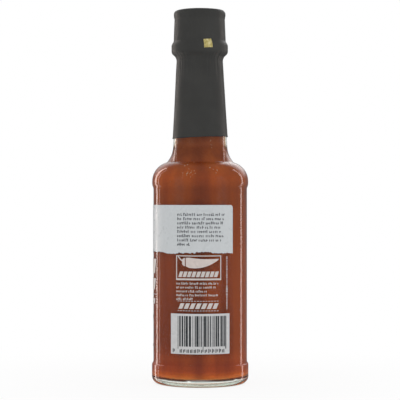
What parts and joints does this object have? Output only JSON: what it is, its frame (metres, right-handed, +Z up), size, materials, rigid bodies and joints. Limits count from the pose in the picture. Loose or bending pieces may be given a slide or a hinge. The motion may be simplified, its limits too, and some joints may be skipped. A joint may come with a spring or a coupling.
{
  "type": "hot sauce bottle",
  "caption": "Shut clear glass bottle of hot sauce with a straight label panel, round shoulder, long tapering neck, screw cap and black shrink sleeve.",
  "frame": {"origin": "centre of the base ring, on the plane the bottle stands on", "axes": "+Z up along the bottle's axis, -Y out of the front face with the panel of small text, +X to the right of the front"},
  "size_m": [0.0482, 0.0482, 0.1859],
  "materials": {
    "clear_glass": "clear, faintly green at thick edges",
    "sauce": "thick brownish orange pepper sauce",
    "cap_plastic": "plain black moulded plastic",
    "sleeve_film": "black shrink film, satin, with fine wrinkles",
    "label_film": "clear glossy film with pale grey print",
    "gold_foil": "pale gold foil"
  },
  "bodies": {
    "root": {"bottle": "clear_glass", "sauce": "sauce", "cap": "cap_plastic", "sleeve": "sleeve_film", "label": "label_film", "seal_mark": "gold_foil"}
  },
  "joints": []
}
